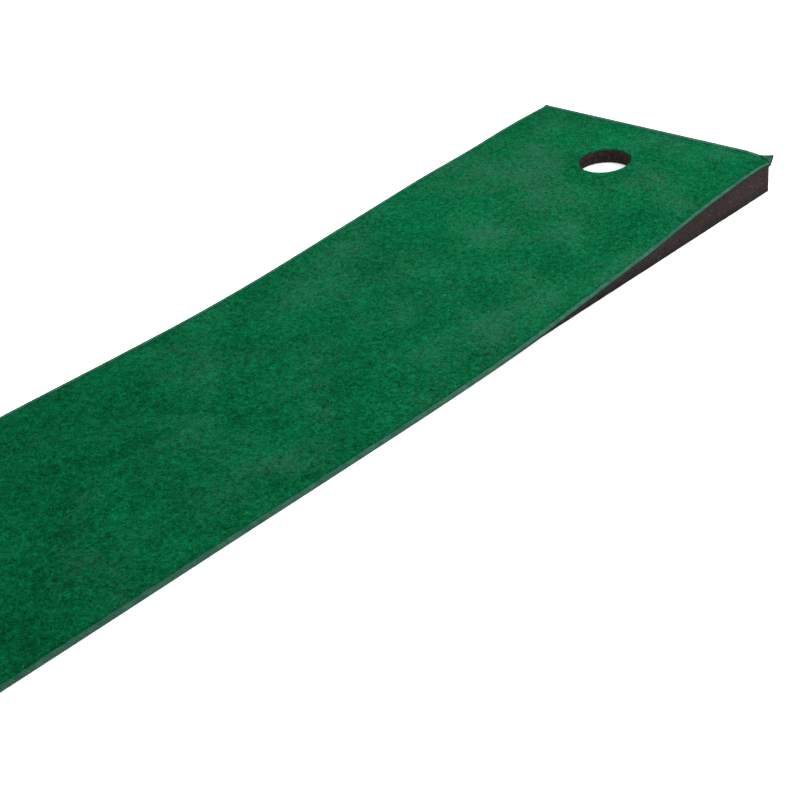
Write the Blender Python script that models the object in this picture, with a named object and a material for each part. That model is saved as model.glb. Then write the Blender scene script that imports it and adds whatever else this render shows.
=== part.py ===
"""Practice putting mat: a bound felt turf sheet on rubber, raised at one end by a foam ramp with a cup.

The mat runs along Y with its raised end at +Y and stands on Z = 0. X is across, and the origin is the
middle of the footprint. All values are in metres.
"""

import math

import bmesh
import bpy
import numpy as np

# Overall sizes
MAT_LENGTH = 2.438
MAT_WIDTH = 0.590
RAMP_RISE = 0.063  # height of the mat's underside at the raised end
RAMP_RUN = 1.100  # from the toe, where the mat leaves the floor, to the raised end

# The mat
TURF_THICKNESS = 0.0035
BACKING_THICKNESS = 0.0015

# The binding sewn round the mat's edge, a U in section: it presses the turf's edge down, ends flush with
# it above, and stays a hair above the floor, so that the mat rests on its backing
BINDING_WIDTH = 0.008
BINDING_TOP = 0.0008
BINDING_WEB = 0.0009
BINDING_RADIUS = 0.0015  # rounds the upper outer edge

# The ramp under it
TOE_LENGTH = 0.366  # long hollow bend where the mat starts to climb
CREST_LENGTH = 0.190  # rounded top, level at the raised end
NOSE_THICKNESS = 0.004  # the foam's thin front edge
FOAM_INSET = 0.010  # how far the foam stays inside the mat's long edges and raised end

# The cup
CUP_DIAMETER = 0.108
CUP_TO_END = 0.168  # cup centre to the raised end
CUP_DEPTH = 0.028  # turf surface to cup floor, at the cup's centre
CUP_FLOOR_THICKNESS = 0.002

# Hook-and-loop pairs that hold the ramp: hooks in a groove in the foam, loops under the backing
STRIP_LENGTH = 0.450
STRIP_WIDTH = 0.025
STRIP_TO_END = 0.060
STRIP_TO_SIDE = 0.070
HOOK_THICKNESS = 0.0015
LOOP_THICKNESS = 0.0012
GROOVE_LEAD = 0.025  # free groove ahead of the strips, so that the loops leave it as the ramp slides out

# Clearances
FIT_GAP = 0.0003  # between touching faces
SIDE_CLEARANCE = 0.0005  # around a strip in its groove and around the cup floor

# Mesh resolution
STATION_STEP = 0.020  # between cross-sections on the curved part
CUP_SIDES = 96
ARC_STEPS = 4

REAR_Y = MAT_LENGTH / 2
FRONT_Y = -MAT_LENGTH / 2
TOE_Y = REAR_Y - RAMP_RUN
CUP_Y = REAR_Y - CUP_TO_END
CUP_RADIUS = CUP_DIAMETER / 2
RAMP_SLOPE = RAMP_RISE / (RAMP_RUN - TOE_LENGTH / 2 - CREST_LENGTH / 2)
OVERCUT = 0.010  # how far a cutter runs past the face it opens

MATERIALS = {  # colour, roughness
    "turf": ((0.009, 0.120, 0.055), 0.95),
    "backing": ((0.012, 0.012, 0.013), 0.70),
    "binding": ((0.060, 0.160, 0.110), 0.85),
    "foam": ((0.040, 0.026, 0.023), 0.90),
    "cup_floor": ((0.850, 0.850, 0.840), 0.50),
    "hook": ((0.020, 0.020, 0.022), 0.80),
    "loop": ((0.030, 0.030, 0.033), 0.95),
}


def mat_underside(y):
    """Height of the mat's underside: a rising parabola at the toe, a straight slope, then a falling one."""
    along = y - TOE_Y
    if along <= 0:
        return 0.0
    if along < TOE_LENGTH:
        return RAMP_SLOPE * along**2 / (2 * TOE_LENGTH)
    left = RAMP_RUN - along
    if left > CREST_LENGTH:
        return RAMP_SLOPE * (along - TOE_LENGTH / 2)
    return RAMP_RISE - RAMP_SLOPE * left**2 / (2 * CREST_LENGTH)


def foam_top(y):
    return mat_underside(y) - FIT_GAP


def turf_top(y):
    return mat_underside(y) + BACKING_THICKNESS + FIT_GAP + TURF_THICKNESS


def nose_y():
    """Where the foam under the toe's parabola is as thick as its nose."""
    return TOE_Y + math.sqrt(2 * TOE_LENGTH * (NOSE_THICKNESS + FIT_GAP) / RAMP_SLOPE)


def stations(start, end):
    """Y of each cross-section: the two ends, and a regular step wherever the mat bends between them."""
    steps = math.ceil(RAMP_RUN / STATION_STEP)
    bends = TOE_Y + RAMP_RUN * np.arange(steps) / steps
    inside = bends[(bends > start + FIT_GAP) & (bends < end - FIT_GAP)]
    return [start, *inside, end]


def material(name):
    colour, roughness = MATERIALS[name]
    made = bpy.data.materials.new(name)
    made.use_nodes = True
    shader = made.node_tree.nodes["Principled BSDF"]
    shader.inputs["Base Color"].default_value = (*colour, 1.0)
    shader.inputs["Roughness"].default_value = roughness
    made.diffuse_color = (*colour, 1.0)
    return made


def new_object(name, mesh, finish):
    mesh.materials.append(finish)
    made = bpy.data.objects.new(name, mesh)
    bpy.context.scene.collection.objects.link(made)
    return made


def loft(name, rings, finish):
    """A solid through closed rings of points, with its first and last ring capped."""
    shape = bmesh.new()
    placed = [[shape.verts.new(point) for point in ring] for ring in rings]
    for ring, following in zip(placed, placed[1:]):
        for i in range(len(ring)):
            j = (i + 1) % len(ring)
            shape.faces.new((ring[i], ring[j], following[j], following[i]))
    shape.faces.new(reversed(placed[0]))
    shape.faces.new(placed[-1])
    bmesh.ops.recalc_face_normals(shape, faces=shape.faces)
    mesh = bpy.data.meshes.new(name)
    shape.to_mesh(mesh)
    shape.free()
    return new_object(name, mesh, finish)


def sweep(name, outline_at, ends, finish):
    """A solid along Y through the closed outlines of (x, z) points that outline_at(y) gives."""
    rings = [[(x, y, z) for x, z in outline_at(y)] for y in stations(*ends)]
    return loft(name, rings, finish)


def crossbar(name, outline, half, finish):
    """A solid across the mat with a closed outline of (y, z) points, bent with the mat."""
    rings = [[(x, y, z + mat_underside(y)) for y, z in outline] for x in (-half, half)]
    return loft(name, rings, finish)


def following_mat(outline):
    """The outline lifted to the mat's underside, for a piece that bends with the mat."""
    return lambda y: [(x, z + mat_underside(y)) for x, z in outline]


def rectangle(left, right, low, high):
    return [(left, low), (right, low), (right, high), (left, high)]


def binding_outline():
    """(distance inside the mat's edge, height) points of the binding's U, open towards the turf."""
    high = BACKING_THICKNESS + FIT_GAP + TURF_THICKNESS
    slot_high = high - BINDING_TOP
    turns = np.linspace(0, math.pi / 2, ARC_STEPS + 1)
    inside = BINDING_RADIUS * (1 - np.cos(turns))
    up = high - BINDING_RADIUS * (1 - np.sin(turns))
    under = [(BINDING_WIDTH, FIT_GAP), (0, FIT_GAP)]
    upper = [*zip(inside, up), (BINDING_WIDTH, high), (BINDING_WIDTH, slot_high), (BINDING_WEB, slot_high)]
    lower = [(BINDING_WEB, BACKING_THICKNESS), (BINDING_WIDTH, BACKING_THICKNESS)]
    return under + upper + lower


def disc(name, radius, low, high, finish):
    """An upright cylinder on the cup's axis."""
    shape = bmesh.new()
    bmesh.ops.create_cone(
        shape,
        cap_ends=True,
        segments=CUP_SIDES,
        radius1=radius,
        radius2=radius,
        depth=high - low,
    )
    mesh = bpy.data.meshes.new(name)
    shape.to_mesh(mesh)
    shape.free()
    made = new_object(name, mesh, finish)
    made.location = (0, CUP_Y, (low + high) / 2)
    return made


def cut(target, cutter):
    cutter.hide_render = True
    cutter.display_type = "WIRE"
    hole = target.modifiers.new(cutter.name, "BOOLEAN")
    hole.operation = "DIFFERENCE"
    hole.object = cutter


def make_turf(hole, finish):
    """The felt: full thickness inside the binding, and pressed thin under it on all four sides."""
    inset = BINDING_WEB + FIT_GAP
    low = BACKING_THICKNESS + FIT_GAP
    high = low + TURF_THICKNESS
    pressed = high - BINDING_TOP - FIT_GAP
    half = MAT_WIDTH / 2 - inset
    open_width = BINDING_WIDTH + FIT_GAP
    open_half = MAT_WIDTH / 2 - open_width
    right = [(half, low), (half, pressed), (open_half, pressed), (open_half, high)]
    left = [(-x, z) for x, z in reversed(right)]
    turf = sweep("turf_sheet", following_mat(right + left), (FRONT_Y + inset, REAR_Y - inset), finish)
    cut(turf, hole)
    for side, end, inward in (("front", FRONT_Y, 1), ("rear", REAR_Y, -1)):
        outer = end - inward * OVERCUT
        inner = end + inward * open_width
        step = [(outer, pressed), (inner, pressed), (inner, OVERCUT), (outer, OVERCUT)]
        cut(turf, crossbar(f"{side}_step_cutter", step, MAT_WIDTH, finish))


def make_backing(hole, finish):
    inset = BINDING_WIDTH + FIT_GAP
    half = MAT_WIDTH / 2 - inset
    outline = following_mat(rectangle(-half, half, 0, BACKING_THICKNESS))
    cut(sweep("rubber_backing", outline, (FRONT_Y + inset, REAR_Y - inset), finish), hole)


def make_binding(finish):
    """Four lengths of binding: the long ones run from end to end, and the short ones fit between them."""
    outline = binding_outline()
    for side, direction in (("left", -1), ("right", 1)):
        section = [(direction * (MAT_WIDTH / 2 - inside), z) for inside, z in outline]
        sweep(f"edge_binding_{side}", following_mat(section), (FRONT_Y, REAR_Y), finish)
    half = MAT_WIDTH / 2 - BINDING_WIDTH - FIT_GAP
    for side, end, inward in (("front", FRONT_Y, 1), ("rear", REAR_Y, -1)):
        section = [(end + inward * inside, z) for inside, z in outline]
        crossbar(f"edge_binding_{side}", section, half, finish)


def make_ramp(finishes):
    """The foam wedge with its blind cup, and the pale disc on the cup's floor."""
    half = MAT_WIDTH / 2 - FOAM_INSET
    foam = sweep(
        "foam_ramp",
        lambda y: rectangle(-half, half, 0, foam_top(y)),
        (nose_y(), REAR_Y - FOAM_INSET),
        finishes["foam"],
    )
    floor_high = turf_top(CUP_Y) - CUP_DEPTH
    floor_low = floor_high - CUP_FLOOR_THICKNESS
    disc("cup_floor", CUP_RADIUS - SIDE_CLEARANCE, floor_low, floor_high, finishes["cup_floor"])
    cup = disc("cup_cutter", CUP_RADIUS, floor_low - FIT_GAP, RAMP_RISE + OVERCUT, finishes["foam"])
    cut(foam, cup)
    return foam


def make_strips(foam, finishes):
    """One hook-and-loop pair along each side of the ramp, let into a groove in the foam."""
    rear = REAR_Y - STRIP_TO_END
    front = rear - STRIP_LENGTH
    loop_high = -FIT_GAP
    loop_low = loop_high - LOOP_THICKNESS
    hook_high = loop_low - FIT_GAP
    hook_low = hook_high - HOOK_THICKNESS
    groove_low = hook_low - FIT_GAP
    for side, direction in (("left", -1), ("right", 1)):
        middle = direction * (MAT_WIDTH / 2 - STRIP_TO_SIDE - STRIP_WIDTH / 2)
        left = middle - STRIP_WIDTH / 2
        right = middle + STRIP_WIDTH / 2
        for kind, low, high in (("loop", loop_low, loop_high), ("hook", hook_low, hook_high)):
            strip = following_mat(rectangle(left, right, low, high))
            sweep(f"{kind}_strip_{side}", strip, (front, rear), finishes[kind])
        groove = sweep(
            f"groove_cutter_{side}",
            following_mat(rectangle(left - SIDE_CLEARANCE, right + SIDE_CLEARANCE, groove_low, OVERCUT)),
            (front - GROOVE_LEAD, rear + SIDE_CLEARANCE),
            finishes["foam"],
        )
        cut(foam, groove)


def main():
    for old in list(bpy.data.objects):
        bpy.data.objects.remove(old, do_unlink=True)
    finishes = {name: material(name) for name in MATERIALS}
    hole = disc("mat_hole_cutter", CUP_RADIUS, 0, RAMP_RISE + OVERCUT, finishes["turf"])
    make_turf(hole, finishes["turf"])
    make_backing(hole, finishes["backing"])
    make_binding(finishes["binding"])
    foam = make_ramp(finishes)
    make_strips(foam, finishes)


main()
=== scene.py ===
"""Looks of a practice putting mat: needle felt bonded to black rubber, lifted by a ramp of crumb foam.

Everything is in metres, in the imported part's frame: X across the mat, Y along it towards the raised end,
Z up from the floor. Each surface is a formula on a lattice of (x, y) points.
"""

import math

import bpy
import numpy as np
from mathutils import Matrix, Vector


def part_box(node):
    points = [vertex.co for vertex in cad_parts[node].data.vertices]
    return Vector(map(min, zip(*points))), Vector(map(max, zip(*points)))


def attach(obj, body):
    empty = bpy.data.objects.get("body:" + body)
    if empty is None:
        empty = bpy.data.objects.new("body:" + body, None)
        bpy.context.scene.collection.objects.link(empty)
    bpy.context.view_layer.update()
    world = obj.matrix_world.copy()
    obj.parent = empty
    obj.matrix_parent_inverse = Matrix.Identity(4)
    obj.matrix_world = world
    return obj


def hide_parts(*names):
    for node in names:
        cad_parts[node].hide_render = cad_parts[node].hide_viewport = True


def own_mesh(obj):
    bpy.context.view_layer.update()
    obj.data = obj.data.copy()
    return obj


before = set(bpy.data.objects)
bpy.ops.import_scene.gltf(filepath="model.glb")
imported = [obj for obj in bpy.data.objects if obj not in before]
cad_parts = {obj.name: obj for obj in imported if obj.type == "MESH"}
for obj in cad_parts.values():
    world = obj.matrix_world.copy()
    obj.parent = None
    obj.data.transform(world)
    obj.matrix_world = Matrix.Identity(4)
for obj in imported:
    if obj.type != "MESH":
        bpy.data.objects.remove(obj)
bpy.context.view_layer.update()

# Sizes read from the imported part
LEFT, FRONT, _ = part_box("edge_binding_left")[0]
RIGHT, REAR, MAT_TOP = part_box("edge_binding_right")[1]
(FOAM_LEFT, NOSE, _), (FOAM_RIGHT, FOAM_REAR, _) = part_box("foam_ramp")
(CUP_LEFT, CUP_NEAR, CUP_LOW), (CUP_RIGHT, CUP_FAR, CUP_HIGH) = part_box("cup_floor")
CUP = np.array([(CUP_LEFT + CUP_RIGHT) / 2, (CUP_NEAR + CUP_FAR) / 2])

# The mat's own sizes
FELT = 0.0035
BACKING = 0.0015
GAP = 0.0003
LOOP = 0.0012
HOOK = 0.0015
GROOVE = LOOP + HOOK + 3 * GAP
GROOVE_LEAD = 0.025  # free groove ahead of the strips
RISE = MAT_TOP - BACKING - GAP - FELT
RUN = 1.100  # from the toe to the raised end
TOE = 0.366
CREST = 0.190
SLOPE = RISE / (RUN - TOE / 2 - CREST / 2)
SIDE_GAP = 0.0005  # round the cup's floor, and round a strip in its groove
HOLE = (CUP_RIGHT - CUP_LEFT) / 2 + SIDE_GAP
RINGED = HOLE * 1.32  # half width of the square round the hole that rings of quads fill
RINGS = 6
BIND = 0.008  # how far the binding reaches in over the felt
WEB = 0.0009  # the binding's thickness at the mat's edge
TAPE = 0.0008  # and above the felt

# Wear and set
RIPPLE = 0.0012  # height of the waves left by rolling the mat up
LEAN = 0.0035  # the foam leans across: past the toe its right side is this much low
LEAN_BACK = 0.0050  # and it comes up again by this much towards the raised end
EDGE_TURN = 0.022  # a strip this wide turns down along the mat's right edge, over the toe
EDGE_DROP = 0.0022  # by this much
EDGE_END = 0.25  # until this far from the raised end, fading over as much before that
END_TURN = 0.022  # and a strip this wide curls up along the raised end
END_CURL = 0.0026  # by this much
SAG_ACROSS = 0.080  # the free corner of the raised end, beyond the foam, hangs down over this width
SAG_ALONG = 0.060
SAG = 0.0055
EAR_ACROSS = 0.046  # its tip is bent up along a crease that starts this far from it along the end
EAR_ALONG = 0.021  # and stops this far from it along the side
EAR_BEND = math.radians(46)


# ---------------------------------------------------------------- shapes

def smooth(t):
    """0 below 0, 1 above 1, and 3t^2 - 2t^3 between."""
    t = np.clip(t, 0, 1)
    return t * t * (3 - 2 * t)


def noise(x, y, cell, seed):
    """Value noise from -1 to 1: random numbers on a square lattice of that cell, blended between."""
    table = np.random.default_rng(seed).uniform(-1, 1, (64, 64))
    u = x / cell + 1000
    v = y / cell + 1000
    i = np.floor(u).astype(int)
    j = np.floor(v).astype(int)
    s = smooth(u - i)
    t = smooth(v - j)
    low = table[i % 64, j % 64] * (1 - s) + table[(i + 1) % 64, j % 64] * s
    high = table[i % 64, (j + 1) % 64] * (1 - s) + table[(i + 1) % 64, (j + 1) % 64] * s
    return low * (1 - t) + high * t


def mat_rise(y):
    """Underside of the mat: flat, then a rising parabola, a straight slope and a falling parabola."""
    along = np.clip(y - (REAR - RUN), 0, RUN)
    left = RUN - along
    toe = SLOPE * along**2 / (2 * TOE)
    slope = SLOPE * (along - TOE / 2)
    crest = RISE - SLOPE * left**2 / (2 * CREST)
    return np.where(along < TOE, toe, np.where(left > CREST, slope, crest))


def from_edge(x, y):
    """Distance inside the mat's nearest edge."""
    return np.minimum(np.minimum(x - LEFT, RIGHT - x), np.minimum(y - FRONT, REAR - y))


def ramp_lean(x, y):
    """How far the ramp's uneven top is from mat_rise: linear across, with smooth steps along."""
    along = 1 - (REAR - y) / RUN
    low_toe = smooth(along / 0.35)
    high_back = smooth((along - 0.60) / 0.20)
    return np.maximum((LEAN_BACK * high_back - LEAN * low_toe) * x / RIGHT, -0.8 * mat_rise(y))


def held_up(y):
    """0 where the mat lies on the floor, 1 where the ramp holds it well clear: a smooth step."""
    return smooth((mat_rise(y) - 0.003) / 0.012)


def edge_drop(x, y):
    """How far the mat's right edge turns down where the toe of the ramp holds it off the floor."""
    share = np.clip(1 - (RIGHT - x) / EDGE_TURN, 0, 1.3)
    before_crest = smooth((REAR - EDGE_END - y) / EDGE_END)
    return EDGE_DROP * (held_up(y) * before_crest) * share**2


def ramp_top(x, y):
    """Where the mat's underside would lie if it had no set of its own."""
    return mat_rise(y) + ramp_lean(x, y)


def end_curl(y):
    """How far the raised end has curled up: a parabola over its last strip."""
    return END_CURL * np.clip(1 - (REAR - y) / END_TURN, 0, 1.1) ** 2


def corner_sag(x, y):
    """How far the free corner hangs down: a smooth step across times a smooth step along."""
    return SAG * smooth(1 - (RIGHT - x) / SAG_ACROSS) * smooth(1 - (REAR - y) / SAG_ALONG)


def ear(x, y):
    """How far past the crease a point of the flat sheet's corner is: 0 behind it, 1 at the tip."""
    return np.clip(1 - (RIGHT - x) / EAR_ACROSS - (REAR - y) / EAR_ALONG, 0, 1.1)


def ripple(x, y):
    """Slow waves left by storing the mat rolled up, fading out over the foam."""
    wave = 0.5 + 0.5 * noise(x * 0.35, y, 0.21, 3)
    free = 1 - smooth((mat_rise(y) - 0.001) / 0.006)
    return RIPPLE * wave * (0.25 + 0.75 * free)


def mat_set(x, y):
    """Everything that lifts or lowers the bonded sheet as a whole, apart from the ear at its corner."""
    return ramp_top(x, y) + ripple(x, y) + end_curl(y) - edge_drop(x, y) - corner_sag(x, y)


def set_down(points):
    """The flat sheet's points (x, y, height above its underside) where the mat lies: lifted by its set,
    with the corner's triangle turned up about its crease."""
    x, y, z = points.T
    deep = EAR_ACROSS * EAR_ALONG / math.hypot(EAR_ACROSS, EAR_ALONG)
    inward = np.array([EAR_ALONG, EAR_ACROSS]) / math.hypot(EAR_ACROSS, EAR_ALONG)
    past = deep * ear(x, y)
    turn = EAR_BEND * smooth(past / 0.006)
    back = past * (1 - np.cos(turn)) + z * np.sin(turn)
    up = past * np.sin(turn) - z * (1 - np.cos(turn))
    return np.column_stack([x - inward[0] * back, y - inward[1] * back, z + mat_set(x, y) + up])


def lines(stops, step):
    """Lattice lines through every stop, evenly spaced between them and no further apart than the step."""
    spans = [
        np.linspace(a, b, max(1, math.ceil((b - a) / step - 1e-6)) + 1)[:-1]
        for a, b in zip(stops, stops[1:])
    ]
    return np.append(np.concatenate(spans), stops[-1])


def lattice(xs, ys):
    """Points of the lattice, its quads and its outer loop, both anticlockwise from above, and every
    point's number by column and row."""
    wide, long = len(xs), len(ys)
    points = np.stack(np.meshgrid(xs, ys, indexing="ij"), -1).reshape(-1, 2)
    index = np.arange(wide * long).reshape(wide, long)
    quads = np.stack([index[:-1, :-1], index[1:, :-1], index[1:, 1:], index[:-1, 1:]], -1)
    loop = np.concatenate([index[:-1, 0], index[-1, :-1], index[:0:-1, -1], index[0, :0:-1]])
    return points, quads, loop, index


def holed_lattice(xs, ys, centre, radius, half, rings):
    """A lattice whose cells inside the square of that half width round the centre give way to rings that
    pass from the square to a circle. Returns points, quads, the outer loop and the hole's loop."""
    points, quads, loop, index = lattice(xs, ys)
    a, b = np.searchsorted(xs, [centre[0] - half - 1e-6, centre[0] + half - 1e-6])
    c, d = np.searchsorted(ys, [centre[1] - half - 1e-6, centre[1] + half - 1e-6])
    outside = np.ones(quads.shape[:2], bool)
    outside[a:b, c:d] = False
    block = index[a : b + 1, c : d + 1]
    square = np.concatenate([block[:-1, 0], block[-1, :-1], block[:0:-1, -1], block[0, :0:-1]])
    spoke = points[square] - centre
    circle = centre + radius * spoke / np.linalg.norm(spoke, axis=1, keepdims=True)
    share = np.linspace(0, 1, rings + 1)[1:, None, None]
    inner = points[square] * (1 - share) + circle * share
    count = len(square)
    ring = len(points) + np.arange(rings * count).reshape(rings, count)
    ring = np.vstack([square, ring])
    following = np.roll(ring, -1, axis=1)
    fan = np.stack([ring[:-1], following[:-1], following[1:], ring[1:]], -1).reshape(-1, 4)
    points = np.vstack([points, inner.reshape(-1, 2)])
    return packed(points, np.vstack([quads[outside], fan]), loop, ring[-1])


def packed(points, quads, *loops):
    """The same surface without the points that no quad uses."""
    used, quads = np.unique(quads, return_inverse=True)
    place = np.full(len(points), -1)
    place[used] = np.arange(len(used))
    return points[used], quads.reshape(-1, 4), *[place[loop] for loop in loops]


def band(upper, lower):
    """Quads between two anticlockwise loops, one above the other, facing away from their middle."""
    return np.stack([lower, np.roll(lower, -1), np.roll(upper, -1), upper], -1)


class Shell:
    """Points and faces gathered piece by piece into one closed surface."""

    def __init__(self):
        self.points = np.empty((0, 3))
        self.faces = []

    def add(self, xy, z):
        """Adds points and returns their numbers."""
        first = len(self.points)
        self.points = np.vstack([self.points, np.column_stack([xy, z])])
        return first + np.arange(len(xy))

    def skin(self, faces, facing_up=True):
        self.faces += (faces if facing_up else faces[:, ::-1]).tolist()

    def wall(self, start, end, rows, inward=False):
        """Bands from the loop of points start to the loop end, through rows of (xy, z) between them."""
        loops = [start, *[self.add(*row) for row in rows], end]
        for upper, lower in zip(loops, loops[1:]):
            self.skin(band(upper, lower), facing_up=not inward)

    def cap(self, loop, xy, z, facing_up=True):
        """A fan of triangles from a loop to one point in its middle."""
        middle = self.add(xy, z)
        spokes = np.stack([loop, np.roll(loop, -1), np.broadcast_to(middle, loop.shape)], -1)
        self.skin(spokes, facing_up)

    def made(self, name):
        return mesh_object(name, self.points, self.faces)


def mesh_object(name, points, faces):
    mesh = bpy.data.meshes.new(name)
    mesh.from_pydata(points, [], faces)
    mesh.shade_smooth()
    made = bpy.data.objects.new(name, mesh)
    bpy.context.scene.collection.objects.link(made)
    return made


def mark(piece, name, values):
    """A number for each point of a mesh, for its material to read."""
    layer = piece.data.attributes.new(name, "FLOAT", "POINT")
    layer.data.foreach_set("value", np.asarray(values, np.float32))


def outward(xy):
    """Directions out of the rectangle that holds the points, for those on its sides."""
    low, high = xy.min(0), xy.max(0)
    return (xy > high - 1e-6).astype(float) - (xy < low + 1e-6)


def to_cup(xy):
    """Directions towards the cup's axis."""
    spoke = CUP - xy
    return spoke / np.linalg.norm(spoke, axis=1, keepdims=True)


def frayed(xy, way, amount, seed):
    """The points moved along their way by a fine noise, as a knife leaves the edge of felt."""
    rough = noise(xy[:, 0] + xy[:, 1], xy[:, 1] - xy[:, 0], 0.007, seed)
    fine = noise(xy[:, 0] + xy[:, 1], xy[:, 1] - xy[:, 0], 0.0023, seed + 1)
    return xy + way * (amount * (0.6 * rough + 0.4 * fine))[:, None]


def bonded_layer(name, step, inset, low, thickness, round_over, relief, fray=0.0):
    """One layer of the mat: a holed lattice for its top, the same for its underside, and rounded edges.

    The top stands at low plus thickness and relief(x, y). Its edge is a quarter circle of radius
    round_over, and the hole's edge is ragged by the amount fray. The walls run down to the underside,
    and then the whole layer is set down."""
    flat_edge = inset + round_over
    near = [0.0, BIND - inset, 2.2 * BIND]
    xs = lines([LEFT + flat_edge + k for k in near] + [CUP[0] - RINGED, CUP[0] + RINGED]
               + [RIGHT - flat_edge - k for k in near[::-1]], step)
    ys = lines([FRONT + flat_edge + k for k in near] + [CUP[1] - RINGED, CUP[1] + RINGED]
               + [REAR - flat_edge - k for k in near[::-1]], step)
    xy, quads, edge, rim = holed_lattice(xs, ys, CUP, HOLE + round_over, RINGED, RINGS)
    shell = Shell()
    top = shell.add(xy, low + thickness + relief(xy[:, 0], xy[:, 1]))
    under = shell.add(xy, np.full(len(xy), low))
    shell.skin(top[quads])
    shell.skin(under[quads], facing_up=False)
    for loop, way, inward in ((edge, outward(xy[edge]), False), (rim, to_cup(xy[rim]), True)):
        start = shell.points[top[loop]]
        rows = []
        for turn in np.radians([20, 45, 70, 90]):
            out = way * round_over * math.sin(turn)
            down = round_over * (1 - math.cos(turn))
            rows.append((frayed(start[:, :2] + out, way, fray * inward, 21), start[:, 2] - down))
        shell.points[under[loop], :2] = rows[-1][0]
        shell.wall(top[loop], under[loop], rows, inward)
    shell.points = set_down(shell.points)
    return shell.made(name)


def felt_relief(x, y):
    """Low lumps of matted fibre, a few millimetres to a few centimetres across, pressed flat by the binding
    and drawn down along its inner edge by the stitches."""
    lumps = 0.5 * noise(x, y, 0.034, 5) + 0.3 * noise(x, y, 0.013, 6) + 0.35 * noise(x, y, 0.0075, 7)
    inward = from_edge(x, y)
    under_tape = smooth(1 - (inward - BIND) / 0.0006)
    drawn = smooth(1 - (inward - BIND) / 0.0065)
    return 0.00045 * lumps * (1 - drawn) - 0.0004 * drawn - 0.0007 * under_tape


def no_relief(x, _):
    return np.zeros_like(x)


def painted_seam_shade(x, y):
    """1 along the binding's inner edge, where the felt is drawn down and gets painted shade, 0 a little
    further in.
    """
    inward = from_edge(x, y)
    ragged = 0.0012 * noise(x, y, 0.005, 31)
    return smooth(1 - (inward + ragged - BIND) / 0.0036)


def mark_painted_light(piece):
    """Painted shade where the binding's seam draws the felt down, and painted sheen that greys it towards
    the raised end.
    """
    points = np.empty(len(piece.data.vertices) * 3)
    piece.data.vertices.foreach_get("co", points)
    x, y, _ = points.reshape(-1, 3).T
    mark(piece, "seam_painted_shade", painted_seam_shade(x, y))
    # Greyer towards the raised end: painted sheen of light grazing the far felt
    mark(piece, "worn", smooth((y - FRONT - 0.6) / 1.5))


def make_felt():
    felt = bonded_layer("felt_sheet", step=0.0066, inset=WEB + GAP, low=BACKING + GAP, thickness=FELT,
                        round_over=0.0006, relief=felt_relief, fray=0.0004)
    mark_painted_light(felt)
    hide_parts("turf_sheet")
    return felt


def make_backing():
    backing = bonded_layer("backing_sheet", step=0.012, inset=BIND + GAP, low=0.0, thickness=BACKING,
                           round_over=0.0003, relief=no_relief)
    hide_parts("rubber_backing")
    return backing


def binding_section():
    """(distance inside the mat's edge, height, how far round the outer face) points of the binding's U:
    along its underside, up round the edge in two rounded corners, in over the felt, and back inside."""
    top = BACKING + GAP + FELT
    low = GAP
    turns = np.radians(np.linspace(0, 90, 4))
    foot, crown = 0.0012, 0.0017
    lower = [(foot - foot * math.sin(t), low + foot - foot * math.cos(t)) for t in turns]
    upper = [(crown - crown * math.cos(t), top - crown + crown * math.sin(t)) for t in turns]
    flange = [(d, top) for d in (0.0034, 0.0052, 0.0068, 0.0077)]
    lip = [(BIND, top - 0.0004), (0.0077, top - TAPE)]
    inner = [(WEB, top - TAPE), (WEB, BACKING), (BIND - 0.0003, BACKING), (BIND, low + 0.0006)]
    outer = [(BIND - 0.0004, low), (0.0045, low), *lower, *upper, *flange, *lip]
    return np.array(outer + inner), len(outer)


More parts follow.
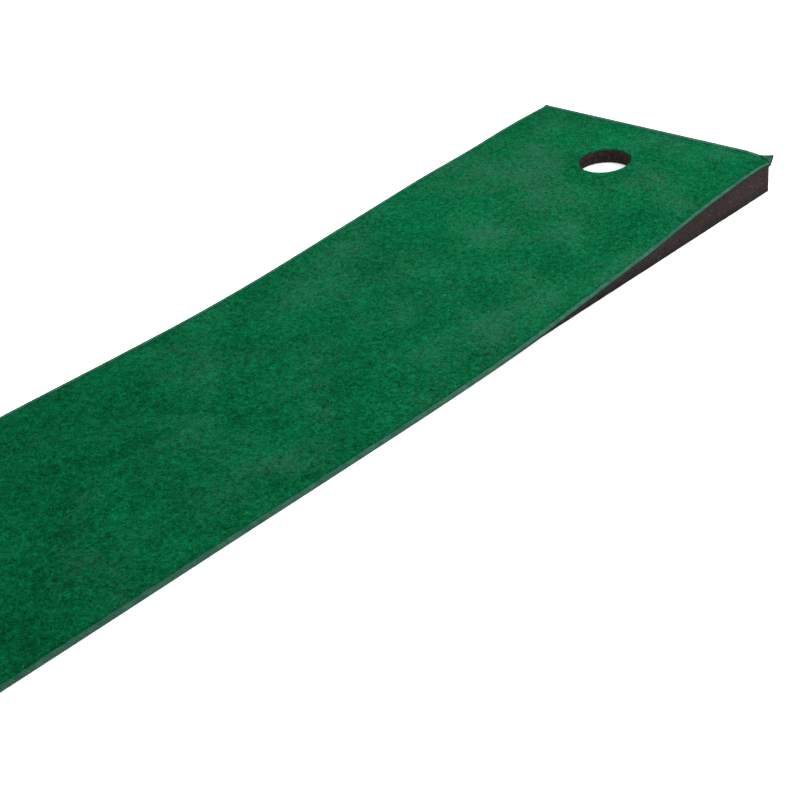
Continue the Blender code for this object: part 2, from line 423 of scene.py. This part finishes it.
def make_binding(side):
    """One length of the binding, swept along its edge: overlock thread lies over it as slanted ridges, a
    raised sine of the distance along the edge plus the way round the section. Its marks say where thread
    lies, where the felt's fibres bury its inner side and where its outer face gets painted shade."""
    replaced = f"edge_binding_{side}"
    (left, front, _), (right, rear, _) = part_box(replaced)
    along_y = side in ("left", "right")
    start, end = (front, rear) if along_y else (left, right)
    pitch = 0.0043
    run = lines([start, end], 0.00118)
    section, faced = binding_section()
    step = np.linalg.norm(np.diff(section, axis=0, prepend=section[:1]), axis=1)
    round_it = np.cumsum(step)
    s, k = np.meshgrid(run, np.arange(len(section)), indexing="ij")
    inside, height = section[k, 0], section[k, 1]
    open_side = (k > 0) & (k < faced - 1)
    wander = 0.0011 * noise(s, 0 * s, 0.021, 51)
    wave = 0.5 + 0.5 * np.cos(2 * math.pi * (s + 0.35 * round_it[k] + wander) / pitch)
    puff = np.where(open_side, 0.00042 * wave + 0.00012 * noise(s, round_it[k], 0.0016, 52), 0.0)
    nearby = np.roll(section, -1, 0) - np.roll(section, 1, 0)
    away = np.column_stack([-nearby[:, 1], nearby[:, 0]]) / np.linalg.norm(nearby, axis=1, keepdims=True)
    inside = inside + away[k, 0] * puff
    height = np.maximum(height + away[k, 1] * puff, GAP)
    x, y = {
        "left": (LEFT + inside, s),
        "right": (RIGHT - inside, s),
        "front": (s, FRONT + inside),
        "rear": (s, REAR - inside),
    }[side]
    shell = Shell()
    points = np.stack([x, y, height], -1).reshape(-1, 3)
    first = shell.add(points[:, :2], points[:, 2]).reshape(x.shape)
    facing = side in ("left", "rear")
    turned_round = np.roll(first, -1, axis=1)
    quads = np.stack([first[:-1], turned_round[:-1], turned_round[1:], first[1:]], -1).reshape(-1, 4)
    shell.skin(quads, facing)
    shell.skin(first[:1], not facing)
    shell.skin(first[-1:], facing)
    shell.points = set_down(shell.points)
    binding = shell.made(f"overlocked_binding_{side}")
    mark(binding, "thread", np.where(open_side, wave, 0.0).ravel())
    ragged = 0.0016 * noise(s, 0 * s, 0.011, 53) + 0.0010 * noise(s, k * 0.0007, 0.0035, 54)
    covered = 0.0060 if side == "right" else 0.0074  # thread shows up to here
    mark(binding, "buried", smooth((section[k, 0] + ragged - covered) / 0.0028).ravel())
    # Painted shade down the binding's outer face under the mat's edge, darkest where the ramp holds the
    # edge up
    painted_low_shade = smooth((0.0050 - section[k, 1]) / 0.0012)
    mark(binding, "under", (painted_low_shade * (0.25 + 0.75 * held_up(y))).ravel())
    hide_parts(replaced)
    return binding


# Faces of a double cone: its first point, a ring of three round its middle, and its last
DOUBLE_CONE = np.array([[0, 2, 1], [0, 3, 2], [0, 1, 3], [4, 1, 2], [4, 2, 3], [4, 3, 1]])


def fibres(name, count, seed, length, lift, width):
    """Loose fibres on the felt: slim double cones, each bent up at its middle ring of three points. Length,
    lift and width are each a smallest and a largest."""
    draw = np.random.default_rng(seed)
    x = draw.uniform(LEFT + BIND, RIGHT - BIND, count)
    y = draw.uniform(FRONT + BIND, REAR - BIND, count)
    clear = np.hypot(x - CUP[0], y - CUP[1]) > HOLE + 0.001
    x, y = x[clear], y[clear]
    count = len(x)
    angle = draw.uniform(0, 2 * math.pi, count)
    reach = draw.uniform(*length, count) / 2
    bend = draw.normal(0, 0.25, count) * reach
    along = np.stack([np.cos(angle), np.sin(angle)], -1)
    across = np.stack([-along[:, 1], along[:, 0]], -1)
    middle = np.stack([x, y], -1)
    high = draw.uniform(*lift, count)
    thick = draw.uniform(*width, count) / 2
    ends = [middle - along * reach[:, None], middle + along * reach[:, None]]
    crown = middle + across * bend[:, None]
    rings = [
        (crown + across * (thick * math.cos(turn))[:, None], high + thick * math.sin(turn))
        for turn in np.radians([-30, 90, 210])
    ]
    sunk = -0.0004  # both ends stand in the felt
    placed = [(ends[0], sunk), *rings, (ends[1], sunk)]
    points = np.stack([on_felt(xy, z) for xy, z in placed], 1).reshape(-1, 3)
    faces = (np.arange(count)[:, None, None] * 5 + DOUBLE_CONE).reshape(-1, 3)
    made = mesh_object(name, points, faces.tolist())
    mark(made, "tone", np.repeat(draw.uniform(0, 1, count), 5))
    return made


def on_felt(xy, lift):
    """Points standing that far above the felt's surface, none of them out over the binding's edge."""
    x = np.clip(xy[:, 0], LEFT + 0.6 * BIND, RIGHT - 0.6 * BIND)
    y = np.clip(xy[:, 1], FRONT + 0.6 * BIND, REAR - 0.6 * BIND)
    inward = from_edge(x, y)
    over_thread = 0.0006
    ground = np.where(inward < BIND, over_thread, felt_relief(x, y))
    return set_down(np.column_stack([x, y, BACKING + GAP + FELT + ground + lift]))


def grooves():
    """Footprints of the two grooves in the foam: each strip's box with its clearances."""
    found = []
    for side in ("left", "right"):
        (left, front, _), (right, rear, _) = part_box(f"hook_strip_{side}")
        found.append((left - SIDE_GAP, right + SIDE_GAP, front - GROOVE_LEAD, rear + SIDE_GAP))
    return found


def foam_height(x, y):
    """Top of the foam: under the mat, pressed down where the mat hangs down, cut away at the grooves."""
    grain = 0.00018 * (noise(x, y, 0.006, 14) - 1)
    top = ramp_top(x, y) - GAP - edge_drop(x, y) - corner_sag(x, y) + grain
    for left, right, front, rear in grooves():
        inside = (x > left) & (x < right) & (y > front) & (y < rear)
        top = np.where(inside, top - GROOVE, top)
    return np.maximum(top, 0.0012)


def foam_side(xy, z, way, amount):
    """Points of a cut face moved in and out by the unevenness of a saw cut through crumb foam."""
    run = xy[:, 0] + xy[:, 1]
    cut_marks = 0.6 * noise(run, z, 0.012, 15) + 0.4 * noise(run, z, 0.0045, 16)
    return xy + way * (amount * (cut_marks - 0.6))[:, None]


def make_foam():
    """The ramp: a holed lattice for the top, sides in rows down to the floor, and a blind round cup."""
    bevel = 0.0015
    nick = 0.0002  # half the width of the quads that stand as a groove's walls
    across = [FOAM_LEFT + bevel, CUP[0] - RINGED, CUP[0] + RINGED, FOAM_RIGHT - bevel]
    along = [NOSE + bevel, CUP[1] - RINGED, CUP[1] + RINGED, FOAM_REAR - bevel]
    for left, right, front, rear in grooves():
        across += [left - nick, left + nick, right - nick, right + nick]
    along += [front - nick, front + nick, rear - nick, rear + nick]  # the same for both grooves
    xs = lines(sorted(across), 0.009)
    ys = lines(sorted(along), 0.009)
    xy, quads, edge, rim = holed_lattice(xs, ys, CUP, HOLE, RINGED, RINGS)
    base_xy, base_quads, base_edge, _ = lattice(xs, ys)
    shell = Shell()
    top = shell.add(xy, foam_height(xy[:, 0], xy[:, 1]))
    under = shell.add(base_xy, np.zeros(len(base_xy)))
    shell.skin(top[quads])
    shell.skin(under[base_quads.reshape(-1, 4)], facing_up=False)
    start = shell.points[top[edge]]
    way = outward(start[:, :2])
    rows = []
    for share in np.linspace(0, 1, 13):
        z = (start[:, 2] - 0.0007) * (1 - share) + 0.0005 * share
        out = start[:, :2] + way * bevel
        rows.append((foam_side(out, z, way, 0.0005), z))
    shell.wall(top[edge], under[base_edge], rows)
    start = shell.points[top[rim]]
    floor = CUP_LOW - GAP
    rows = []
    for share in np.linspace(0, 1, 6)[1:]:
        z = start[:, 2] * (1 - share) + floor * share
        rows.append((foam_side(start[:, :2], z, -to_cup(start[:, :2]), 0.0004), z))
    bottom = shell.add(*rows[-1])
    shell.wall(top[rim], bottom, rows[:-1], inward=True)
    shell.cap(bottom, CUP[None], [floor])
    foam = shell.made("foam_block")
    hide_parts("foam_ramp")
    return foam


def turned(name, profile, sides):
    """A profile of (radius, height) points turned round the cup's axis, closed at both of its ends."""
    turn = np.linspace(0, 2 * math.pi, sides, endpoint=False)
    circle = np.stack([np.cos(turn), np.sin(turn)], -1)
    shell = Shell()
    loops = [shell.add(CUP + circle * radius, np.full(sides, height)) for radius, height in profile[1:-1]]
    shell.cap(loops[0], CUP[None], [profile[0][1]])
    for inner, outer in zip(loops, loops[1:]):
        shell.skin(band(inner, outer))
    shell.cap(loops[-1], CUP[None], [profile[-1][1]], facing_up=False)
    return shell.made(name)


def make_cup_base():
    """A pale disc, very slightly dished, with a small round edge."""
    radius = HOLE - 0.0006
    top = CUP_HIGH
    profile = [(0, top - 0.0006), (0.6 * radius, top - 0.00045), (0.9 * radius, top - 0.0001),
               (radius - 0.0005, top), (radius - 0.0001, top - 0.0002), (radius, top - 0.0006),
               (radius, CUP_LOW + 0.0003), (radius - 0.0003, CUP_LOW), (0, CUP_LOW)]
    base = turned("cup_base", profile, 96)
    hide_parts("cup_floor")
    return base


def tape(shell, box, low, high, height):
    """A strip of woven tape over that box's footprint, following height(x, y), with softened long edges."""
    (left, front, _), (right, rear, _) = box
    soft = 0.0004
    xy, quads, edge, _ = lattice(lines([left + soft, right - soft], 0.004), lines([front, rear], 0.010))
    quads = quads.reshape(-1, 4)
    rise = height(xy[:, 0], xy[:, 1])
    top = shell.add(xy, rise + high)
    under = shell.add(xy, rise + low)
    shell.skin(top[quads])
    shell.skin(under[quads], facing_up=False)
    out = xy[edge] + outward(xy[edge]) * soft
    shell.wall(top[edge], under[edge], [(out, rise[edge] + share * high + (1 - share) * low)
                                        for share in (0.75, 0.25)])


TAPE_BASE = 0.0005
TAPE_MARGIN = 0.0015  # bare tape along its edges


def make_hooks(side):
    """Hook tape: a flat base and rows of little mushroom-headed stems."""
    replaced = f"hook_strip_{side}"
    (left, front, _), (right, rear, _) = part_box(replaced)
    low = -GAP - LOOP - GAP - HOOK
    shell = Shell()
    tape(shell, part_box(replaced), low, low + TAPE_BASE, ramp_top)
    pitch = 0.0020
    x, y = np.meshgrid(np.arange(left + TAPE_MARGIN, right - 0.001, pitch),
                       np.arange(front + TAPE_MARGIN, rear - 0.001, pitch))
    spot = np.stack([x + 0.0003 * (np.arange(len(y)) % 2)[:, None], y], -1).reshape(-1, 2)
    turn = np.radians([45, 135, 225, 315])
    circle = np.stack([np.cos(turn), np.sin(turn)], -1)
    foot = ramp_top(spot[:, 0], spot[:, 1]) + low + TAPE_BASE
    rings = []
    for radius, height in ((0.00020, 0.0), (0.00018, 0.00062), (0.00046, 0.00068)):
        xy = (spot[:, None] + circle * radius).reshape(-1, 2)
        rings.append(shell.add(xy, np.repeat(foot + height, 4)).reshape(-1, 4))
    tip = shell.add(spot, foot + 0.00095)
    for lower, upper in zip(rings, rings[1:]):
        quads = np.stack([lower, np.roll(lower, -1, 1), np.roll(upper, -1, 1), upper], -1)
        shell.skin(quads.reshape(-1, 4))
    crown = np.stack([rings[-1], np.roll(rings[-1], -1, 1), np.repeat(tip[:, None], 4, 1)], -1)
    shell.skin(crown.reshape(-1, 3))
    shell.skin(rings[0], facing_up=False)
    hooks = shell.made(f"hook_tape_{side}")
    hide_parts(replaced)
    return hooks


def make_loops(side):
    """Loop tape under the backing: a woven base with a nap of small loose loops hanging from it."""
    replaced = f"loop_strip_{side}"
    (left, front, _), (right, rear, _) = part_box(replaced)
    shell = Shell()
    tape(shell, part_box(replaced), -GAP - TAPE_BASE, -GAP, mat_set)
    draw = np.random.default_rng(70 + len(side))
    count = 5000
    spot = draw.uniform((left + TAPE_MARGIN, front + TAPE_MARGIN),
                        (right - TAPE_MARGIN, rear - TAPE_MARGIN), (count, 2))
    angle = draw.uniform(0, 2 * math.pi, count)
    along = np.stack([np.cos(angle), np.sin(angle)], -1) * 0.0008
    across = np.stack([-along[:, 1], along[:, 0]], -1) * 0.12
    hang = mat_set(spot[:, 0], spot[:, 1]) - GAP - TAPE_BASE
    drop = draw.uniform(0.0003, 0.0006, count)
    placed = [(spot - along, 0.00005), (spot + across, -drop), (spot - across, -drop),
              (spot, -drop - 0.00008), (spot + along, 0.00005)]
    first = len(shell.points)
    points = np.stack([np.column_stack([xy, hang + z]) for xy, z in placed], 1).reshape(-1, 3)
    shell.add(points[:, :2], points[:, 2])
    shell.skin((first + np.arange(count)[:, None, None] * 5 + DOUBLE_CONE).reshape(-1, 3))
    loops = shell.made(f"loop_tape_{side}")
    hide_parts(replaced)
    return loops


# ---------------------------------------------------------------- finishes

def node(tree, kind, inputs=None, **settings):
    """Adds a shader node. A socket among the inputs is linked, and anything else is its value."""
    made = tree.nodes.new("ShaderNode" + kind)
    for name, value in settings.items():
        setattr(made, name, value)
    for name, value in (inputs or {}).items():
        if isinstance(value, bpy.types.NodeSocket):
            tree.links.new(value, made.inputs[name])
        else:
            made.inputs[name].default_value = value
    return made


def mapped(tree, value, low, high, to_low=0.0, to_high=1.0):
    """The value carried from one range to another and held inside it."""
    made = node(tree, "MapRange", {"Value": value, "From Min": low, "From Max": high,
                                   "To Min": to_low, "To Max": to_high})
    return made.outputs["Result"]


def blend(tree, share, first, second, mode="MIX"):
    made = node(tree, "Mix", data_type="RGBA", blend_type=mode)
    for socket, value in ((made.inputs[0], share), (made.inputs[6], first), (made.inputs[7], second)):
        if isinstance(value, bpy.types.NodeSocket):
            tree.links.new(value, socket)
        else:
            socket.default_value = value
    return made.outputs[2]


def sums(tree, *terms):
    """Adds up terms of (value, factor)."""
    total = 0.0
    for value, factor in terms:
        total = node(tree, "Math", {0: value, 1: factor, 2: total}, operation="MULTIPLY_ADD").outputs[0]
    return total


def cloud(tree, place, scale, detail=3.0, roughness=0.55, distortion=0.0):
    made = node(tree, "TexNoise", {"Vector": place, "Scale": scale, "Detail": detail,
                                   "Roughness": roughness, "Distortion": distortion})
    return made.outputs["Fac"]


def group(name, inputs, outputs):
    """An empty node group with those sockets, and its input and output nodes."""
    tree = bpy.data.node_groups.new(name, "ShaderNodeTree")
    for way, sockets in (("INPUT", inputs), ("OUTPUT", outputs)):
        for label, kind in sockets.items():
            tree.interface.new_socket(label, in_out=way, socket_type="NodeSocket" + kind)
    return tree, tree.nodes.new("NodeGroupInput").outputs, tree.nodes.new("NodeGroupOutput").inputs


def heather_group():
    """Dyed fibres of four shades tangled together: slow blotches, mottling and fine short strokes, greyed
    in loose patches, and greyed more by the last input, which is painted sheen."""
    tree, given, result = group(
        "heather",
        {"Vector": "Vector", "Dark": "Color", "Mid": "Color", "Light": "Color", "Fleck": "Color",
         "Worn": "Float"},
        {"Color": "Color", "Height": "Float"},
    )
    place = given["Vector"]
    blotch = cloud(tree, place, 9.0, 2.0)
    mottle = cloud(tree, place, 95.0, 2.0, 0.5, 0.6)
    strokes = cloud(tree, place, 250.0, 3.0, 0.6, 1.4)
    fine = cloud(tree, place, 900.0, 2.0, 0.6, 2.0)
    shade = sums(tree, (blotch, 0.35), (mottle, 0.65), (strokes, 1.50), (fine, 0.50))
    dark_to_mid = blend(tree, mapped(tree, shade, 1.14, 1.50), given["Dark"], given["Mid"])
    colour = blend(tree, mapped(tree, shade, 1.50, 1.86), dark_to_mid, given["Light"])
    patches = cloud(tree, place, 7.0, 2.0)
    specks = cloud(tree, place, 150.0, 3.0, 0.65, 1.0)
    # The last input adds painted sheen: the fibre greys towards the raised end
    grey = sums(tree, (specks, 1.0), (patches, 0.70), (given["Worn"], 0.09))
    colour = blend(tree, mapped(tree, grey, 0.93, 1.18, 0.0, 0.70), colour, given["Fleck"])
    tree.links.new(colour, result["Color"])
    tree.links.new(sums(tree, (mottle, 0.35), (strokes, 0.45), (fine, 0.35)), result["Height"])
    return tree


def grain_group():
    """Fine unevenness at one scale, with a finer one on top of it."""
    tree, given, result = group("grain", {"Vector": "Vector", "Scale": "Float"}, {"Height": "Float"})
    coarse = cloud(tree, given["Vector"], given["Scale"], 4.0, 0.6)
    finer = node(tree, "Math", {0: given["Scale"], 1: 4.3}, operation="MULTIPLY").outputs[0]
    fine = cloud(tree, given["Vector"], finer, 2.0, 0.5)
    tree.links.new(sums(tree, (coarse, 0.7), (fine, 0.3)), result["Height"])
    return tree


def dust_group():
    """A pale film in loose patches, with a few specks of lint."""
    tree, given, result = group(
        "dust",
        {"Vector": "Vector", "Color": "Color", "Dust": "Color", "Amount": "Float"},
        {"Color": "Color", "Mask": "Float"},
    )
    patches = mapped(tree, cloud(tree, given["Vector"], 23.0, 4.0, 0.65), 0.42, 0.72)
    lint = mapped(tree, cloud(tree, given["Vector"], 610.0, 2.0, 0.5), 0.68, 0.76)
    film = sums(tree, (patches, 0.6), (lint, 0.5))
    scaled = node(tree, "Math", {0: film, 1: given["Amount"]}, operation="MULTIPLY", use_clamp=True)
    mask = scaled.outputs[0]
    tree.links.new(blend(tree, mask, given["Color"], given["Dust"]), result["Color"])
    tree.links.new(mask, result["Mask"])
    return tree


def rgb(*parts):
    return (*parts, 1.0)


class Finish:
    """A material with its shader and the piece's own coordinates at hand."""

    def __init__(self, name, **sockets):
        self.material = bpy.data.materials.new(name)
        self.material.use_nodes = True
        self.tree = self.material.node_tree
        self.shader = self.tree.nodes["Principled BSDF"]
        for label, value in sockets.items():
            self.shader.inputs[label.replace("_", " ")].default_value = value
        self.place = node(self.tree, "TexCoord").outputs["Object"]

    def use(self, shared, **inputs):
        """A shared group placed in this material."""
        values = {label.replace("_", " "): value for label, value in inputs.items()}
        made = node(self.tree, "Group", node_tree=shared)
        for label, value in {"Vector": self.place, **values}.items():
            if isinstance(value, bpy.types.NodeSocket):
                self.tree.links.new(value, made.inputs[label])
            else:
                made.inputs[label].default_value = value
        return made.outputs

    def mark(self, name):
        return node(self.tree, "Attribute", attribute_name=name).outputs["Fac"]

    def link(self, value, label):
        self.tree.links.new(value, self.shader.inputs[label])

    def bump(self, height, distance, strength=1.0):
        made = node(self.tree, "Bump", {"Height": height, "Distance": distance, "Strength": strength})
        self.link(made.outputs["Normal"], "Normal")

    def on(self, *pieces):
        for piece in pieces:
            piece.data.materials.clear()
            piece.data.materials.append(self.material)


FELT_SHADES = {
    "Dark": rgb(0.0004, 0.024, 0.0070),
    "Mid": rgb(0.0009, 0.091, 0.0300),
    "Light": rgb(0.0045, 0.180, 0.0690),
    "Fleck": rgb(0.0280, 0.115, 0.0680),
}
# Painted shade for the felt drawn down along the binding's inner edge
PAINTED_SEAM_SHADE = rgb(0.0012, 0.034, 0.0160)


def felt_finish(heather):
    """Green needle felt: heathered, soft and matt, with painted shade where the binding's stitches draw it
    down.
    """
    finish = Finish("green needle felt", Roughness=0.97, Specular_IOR_Level=0.01)
    tree = finish.tree
    fibre = finish.use(heather, Worn=finish.mark("worn"), **FELT_SHADES)
    # Painted shade along the binding's inner edge
    seam_painted_shade = mapped(tree, finish.mark("seam_painted_shade"), 0.0, 1.0, 0.0, 0.45)
    finish.link(blend(tree, seam_painted_shade, fibre["Color"], PAINTED_SEAM_SHADE), "Base Color")
    finish.bump(fibre["Height"], 0.0014, 1.0)
    return finish


def fibre_finish(heather):
    """The same dyed fibre, each strand with a tone of its own."""
    finish = Finish("loose green fibre", Roughness=0.9, Specular_IOR_Level=0.05)
    tree = finish.tree
    colour = finish.use(heather, Worn=finish.mark("worn"), **FELT_SHADES)["Color"]
    tone = finish.mark("tone")
    colour = blend(tree, mapped(tree, tone, 0.0, 0.40, 0.75, 0.0), colour, FELT_SHADES["Dark"])
    colour = blend(tree, mapped(tree, tone, 0.72, 1.0, 0.0, 0.55), colour, rgb(0.010, 0.215, 0.090))
    # Painted shade along the binding's inner edge, lighter on the loose fibres
    seam_painted_shade = mapped(tree, finish.mark("seam_painted_shade"), 0.0, 1.0, 0.0, 0.3)
    finish.link(blend(tree, seam_painted_shade, colour, PAINTED_SEAM_SHADE), "Base Color")
    return finish


def binding_finish(heather, grain):
    """Grey-green overlock thread, fuzzy and matt, with painted shade between its turns, lost among the
    felt's own fibres along its inner side, and with painted shade down its outer face, darkest on the ramp."""
    finish = Finish("overlock thread", Roughness=0.9, Specular_IOR_Level=0.05)
    tree = finish.tree
    fuzz = finish.use(grain, Scale=900.0)["Height"]
    turn = sums(tree, (finish.mark("thread"), 0.75), (fuzz, 0.7))
    worn = cloud(tree, finish.place, 55.0, 4.0, 0.7)
    thread = blend(tree, mapped(tree, worn, 0.35, 0.65), rgb(0.016, 0.088, 0.056), rgb(0.048, 0.148, 0.105))
    # Painted shade in the grooves between the thread's turns
    thread = blend(tree, mapped(tree, turn, 0.25, 0.80), rgb(0.010, 0.058, 0.034), thread)
    fibre = finish.use(heather, **FELT_SHADES)["Color"]
    buried = sums(tree, (finish.mark("buried"), 1.0), (fuzz, 0.5))
    colour = blend(tree, mapped(tree, buried, 0.30, 1.10), thread, fibre)
    # Painted shade on the outer face, where the under mark is high
    finish.link(blend(tree, finish.mark("under"), colour, rgb(0.006, 0.020, 0.015)), "Base Color")
    finish.bump(fuzz, 0.0005)
    return finish


def rubber_finish(grain, dust):
    """Black foamed rubber with a fine waffle pressed into it."""
    finish = Finish("black rubber", Roughness=0.72, Specular_IOR_Level=0.35)
    tree = finish.tree
    film = finish.use(dust, Color=rgb(0.010, 0.010, 0.011), Dust=rgb(0.09, 0.085, 0.08), Amount=0.35)
    finish.link(film["Color"], "Base Color")
    finish.link(mapped(tree, film["Mask"], 0.0, 0.5, 0.62, 0.9), "Roughness")
    waves = [node(tree, "TexWave", {"Vector": finish.place, "Scale": 62.0}, bands_direction=way)
             for way in ("X", "Y")]
    height = finish.use(grain, Scale=420.0)["Height"]
    across, along = (wave.outputs["Fac"] for wave in waves)
    finish.bump(sums(tree, (across, 0.5), (along, 0.5), (height, 0.35)), 0.0006)
    return finish


def foam_finish(grain, dust):
    """Crumb foam: chips a few millimetres across in browns and near blacks, with open pores between, and
    painted shade darkening its foot.
    """
    finish = Finish("crumb foam", Roughness=0.93, Specular_IOR_Level=0.2)
    tree = finish.tree
    chips = node(tree, "TexVoronoi", {"Vector": finish.place, "Scale": 330.0, "Randomness": 1.0})
    pick = node(tree, "SeparateColor", {"Color": chips.outputs["Color"]}).outputs
    fine = cloud(tree, finish.place, 900.0, 3.0, 0.65)
    slow = cloud(tree, finish.place, 45.0, 3.0)
    colour = blend(tree, mapped(tree, pick[0], 0.1, 0.9),
                   rgb(0.0095, 0.0056, 0.0050), rgb(0.034, 0.0195, 0.0172))
    colour = blend(tree, mapped(tree, pick[1], 0.80, 0.97, 0.0, 0.8), colour, rgb(0.070, 0.020, 0.017))
    colour = blend(tree, mapped(tree, pick[2], 0.90, 0.99, 0.0, 0.6), colour, rgb(0.080, 0.066, 0.060))
    shade = sums(tree, (fine, 0.8), (slow, 0.6))
    colour = blend(tree, mapped(tree, shade, 0.45, 0.95, 0.75, 0.0), colour, rgb(0.008, 0.0055, 0.005))
    # Darker towards the floor: painted shade at the foam's foot
    high = node(tree, "SeparateXYZ", {"Vector": finish.place}).outputs["Z"]
    foot = sums(tree, (high, 1.0), (slow, 0.010))
    colour = blend(tree, mapped(tree, foot, 0.006, 0.026, 0.80, 0.0), colour, rgb(0.005, 0.0035, 0.003))
    film = finish.use(dust, Color=colour, Dust=rgb(0.12, 0.10, 0.09), Amount=0.10)
    finish.link(film["Color"], "Base Color")
    height = finish.use(grain, Scale=520.0)["Height"]
    finish.bump(sums(tree, (chips.outputs["Distance"], -0.9), (height, 0.8)), 0.0014)
    return finish


def cup_finish(grain, dust):
    """White moulded plastic, a little scuffed by balls."""
    finish = Finish("white plastic", Roughness=0.42, Specular_IOR_Level=0.45)
    tree = finish.tree
    film = finish.use(dust, Color=rgb(0.88, 0.88, 0.87), Dust=rgb(0.62, 0.62, 0.59), Amount=0.18)
    scuffs = mapped(tree, cloud(tree, finish.place, 75.0, 3.0, 0.5, 3.5), 0.60, 0.66, 0.0, 0.25)
    finish.link(blend(tree, scuffs, film["Color"], rgb(0.66, 0.67, 0.65)), "Base Color")
    finish.link(mapped(tree, scuffs, 0.0, 0.25, 0.38, 0.65), "Roughness")
    finish.bump(finish.use(grain, Scale=180.0)["Height"], 0.0001)
    return finish


def hook_finish(grain):
    """Black moulded nylon."""
    finish = Finish("hook nylon", Roughness=0.38, Specular_IOR_Level=0.5)
    height = finish.use(grain, Scale=700.0)["Height"]
    finish.link(blend(finish.tree, mapped(finish.tree, height, 0.35, 0.65), rgb(0.014, 0.014, 0.016),
                      rgb(0.030, 0.030, 0.033)), "Base Color")
    finish.bump(height, 0.0001)
    return finish


def loop_finish(heather):
    """Dark brushed nylon nap."""
    finish = Finish("loop nap", Roughness=0.95, Sheen_Weight=0.25, Specular_IOR_Level=0.2)
    nap = finish.use(heather, Dark=rgb(0.008, 0.008, 0.009), Mid=rgb(0.022, 0.022, 0.024),
                     Light=rgb(0.060, 0.060, 0.064), Fleck=rgb(0.04, 0.038, 0.036))
    finish.link(nap["Color"], "Base Color")
    finish.bump(nap["Height"], 0.0005)
    return finish


def floor_finish():
    """White paper sweep, lit from within a little so that it stays white beside the mat."""
    finish = Finish("white sweep", Roughness=0.9, Specular_IOR_Level=0.1, Emission_Strength=0.75,
                    Emission_Color=rgb(1, 1, 1))
    tone = mapped(finish.tree, cloud(finish.tree, finish.place, 3.0), 0.3, 0.7)
    finish.link(blend(finish.tree, tone, rgb(0.86, 0.86, 0.86), rgb(0.88, 0.88, 0.88)), "Base Color")
    return finish


# ---------------------------------------------------------------- studio

def lamp(name, place, size, power):
    """A soft square lamp aimed at the middle of the ramp."""
    data = bpy.data.lights.new(name, "AREA")
    data.size = size
    data.energy = power
    made = bpy.data.objects.new(name, data)
    made.location = place
    target = Vector((0, REAR - RUN / 2, 0))
    made.rotation_euler = (Vector(place) - target).to_track_quat("Z", "Y").to_euler()
    bpy.context.scene.collection.objects.link(made)


def studio():
    """A pale floor that sweeps up far away, a soft even sky and two large lamps."""
    reach, flat, sweep, high = 60, 30, 25, 12
    across = np.linspace(-reach, reach, 61)
    xy, quads, _, _ = lattice(across, across)
    rise = high * smooth((np.linalg.norm(xy, axis=1) - flat) / sweep)
    floor = mesh_object("floor", np.column_stack([xy, rise]), quads.reshape(-1, 4).tolist())
    floor_finish().on(floor)
    world = bpy.data.worlds.new("soft sky")
    world.use_nodes = True
    world.node_tree.nodes["Background"].inputs["Color"].default_value = rgb(1, 1, 1)
    world.node_tree.nodes["Background"].inputs["Strength"].default_value = 0.43
    bpy.context.scene.world = world
    bpy.context.scene.view_settings.view_transform = "Standard"
    lamp("overhead", (0.15, 1.05, 1.9), 1.7, 49)
    lamp("side", (2.6, 0.6, 1.8), 1.6, 16)


def aim(azimuth, elevation, roll):
    """Camera rotation: azimuth turns from -Y towards +X, elevation looks down, roll tilts the picture."""
    az, el, ro = np.radians([azimuth, elevation, roll])
    back = np.array([math.sin(az) * math.cos(el), -math.cos(az) * math.cos(el), math.sin(el)])
    right = np.cross(-back, [0, 0, 1])
    right /= np.linalg.norm(right)
    up = np.cross(right, -back)
    across = math.cos(ro) * right + math.sin(ro) * up
    above = -math.sin(ro) * right + math.cos(ro) * up
    return Matrix(np.column_stack([across, above, back]).tolist())


def camera():
    data = bpy.data.cameras.new("view")
    data.lens = 65.4
    data.sensor_width = 36.0
    made = bpy.data.objects.new("view", data)
    place = Matrix.Translation((1.730, REAR - 2.357, 1.255))
    made.matrix_world = place @ aim(48.1, 31.8, -6.9).to_4x4()
    bpy.context.scene.collection.objects.link(made)
    bpy.context.scene.camera = made


# ---------------------------------------------------------------- assembly

felt = make_felt()
backing = make_backing()
binding = [make_binding(side) for side in ("left", "right", "front", "rear")]
foam = make_foam()
cup_base = make_cup_base()
hooks = [make_hooks(side) for side in ("left", "right")]
loops = [make_loops(side) for side in ("left", "right")]
fuzz = [fibres(f"felt_fibres_{k + 1}", count=32000, seed=40 + k, length=(0.003, 0.009),
               lift=(0.0001, 0.0009), width=(0.0002, 0.0005)) for k in range(3)]
for piece in fuzz:
    mark_painted_light(piece)

heather, grain, dust = heather_group(), grain_group(), dust_group()
felt_finish(heather).on(felt)
fibre_finish(heather).on(*fuzz)
rubber_finish(grain, dust).on(backing)
binding_finish(heather, grain).on(*binding)
foam_finish(grain, dust).on(foam)
cup_finish(grain, dust).on(cup_base)
hook_finish(grain).on(*hooks)
loop_finish(heather).on(*loops)

for body, slot, pieces in (
    ("mat", "turf", [felt, *fuzz]),
    ("mat", "backing", [backing]),
    ("mat", "binding", binding),
    ("mat", "loop", loops),
    ("ramp", "foam", [foam]),
    ("ramp", "cup_floor", [cup_base]),
    ("ramp", "hook", hooks),
):
    for piece in pieces:
        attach(piece, body)

for piece in [felt, backing, *binding, *fuzz, *loops]:
    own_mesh(piece)

studio()
camera()
